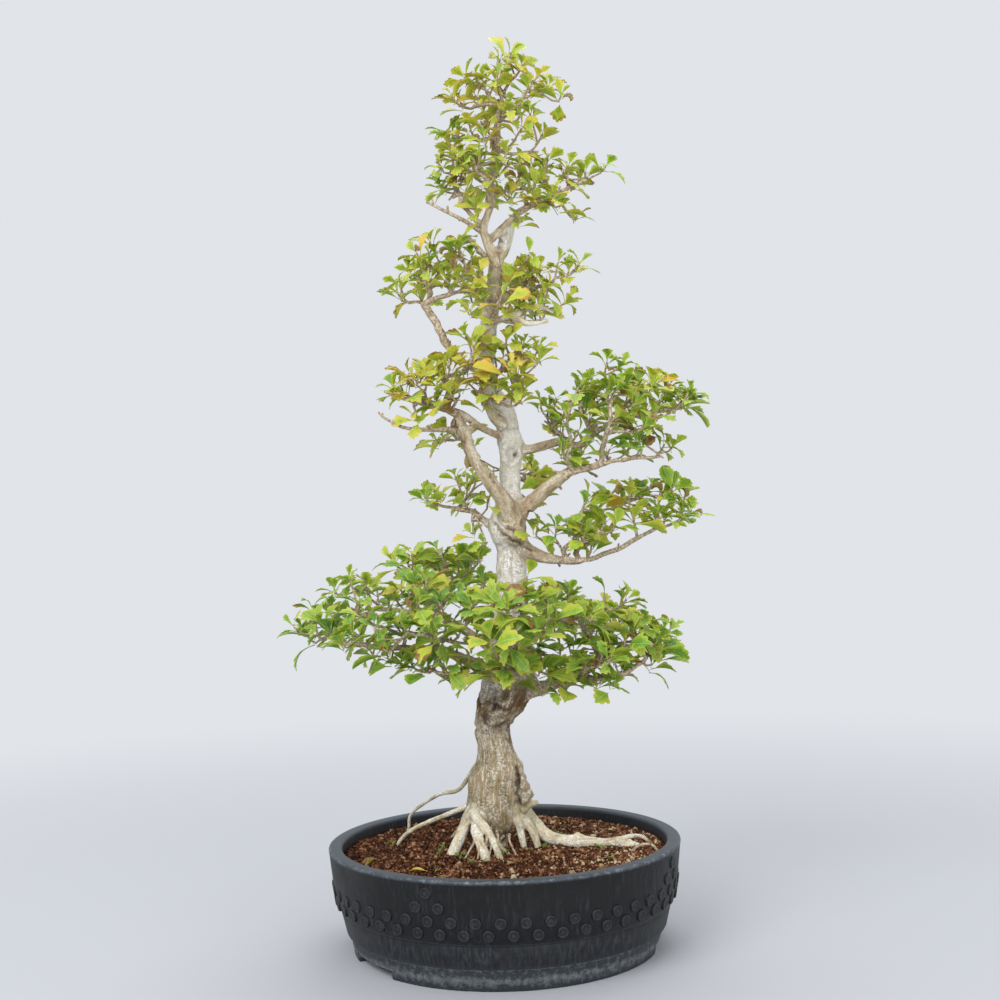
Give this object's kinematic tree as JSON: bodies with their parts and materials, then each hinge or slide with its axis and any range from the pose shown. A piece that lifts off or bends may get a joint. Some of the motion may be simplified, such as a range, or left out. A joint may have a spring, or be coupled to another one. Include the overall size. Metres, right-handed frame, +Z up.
{
  "type": "potted bonsai tree",
  "caption": "Upright rose of sharon bonsai with tiers of small lobed leaves and spreading surface roots, in a round drum-studded training pot.",
  "frame": {"origin": "on the pot's axis, in the plane that its foot ring rests on", "axes": "+Z up along the pot's axis, -Y towards the viewer, +X to the viewer's right"},
  "size_m": [0.4566, 0.3558, 0.9224],
  "materials": {
    "pot_plastic": "matte near-black with a faint chalky bloom on the lip",
    "soil_grit": "matte red-brown grit",
    "bark": "pale cream bark with fine vertical fissures",
    "screen_plastic": "matte black",
    "leafy_stem": "matte yellow-green leaves on thin grey-brown twigs"
  },
  "bodies": {
    "root": {"pot": "pot_plastic", "soil": "soil_grit", "trunk": "bark", "drain_screen_1": "screen_plastic", "drain_screen_2": "screen_plastic", "spray_low_left": "leafy_stem", "spray_low_left_back": "leafy_stem", "spray_low_front": "leafy_stem", "spray_low_right": "leafy_stem", "spray_low_right_back": "leafy_stem", "spray_low_back": "leafy_stem", "spray_small_left": "leafy_stem", "spray_right_low": "leafy_stem", "spray_right_high": "leafy_stem", "spray_right_inner": "leafy_stem", "spray_middle_left": "leafy_stem", "spray_middle_front": "leafy_stem", "spray_middle_back": "leafy_stem", "spray_upper_left": "leafy_stem", "spray_upper_right": "leafy_stem", "spray_upper_front": "leafy_stem", "spray_upper_back": "leafy_stem", "spray_apex_left": "leafy_stem", "spray_apex_right": "leafy_stem", "spray_apex_front": "leafy_stem", "spray_apex_back": "leafy_stem", "spray_apex_crown": "leafy_stem"}
  },
  "joints": []
}
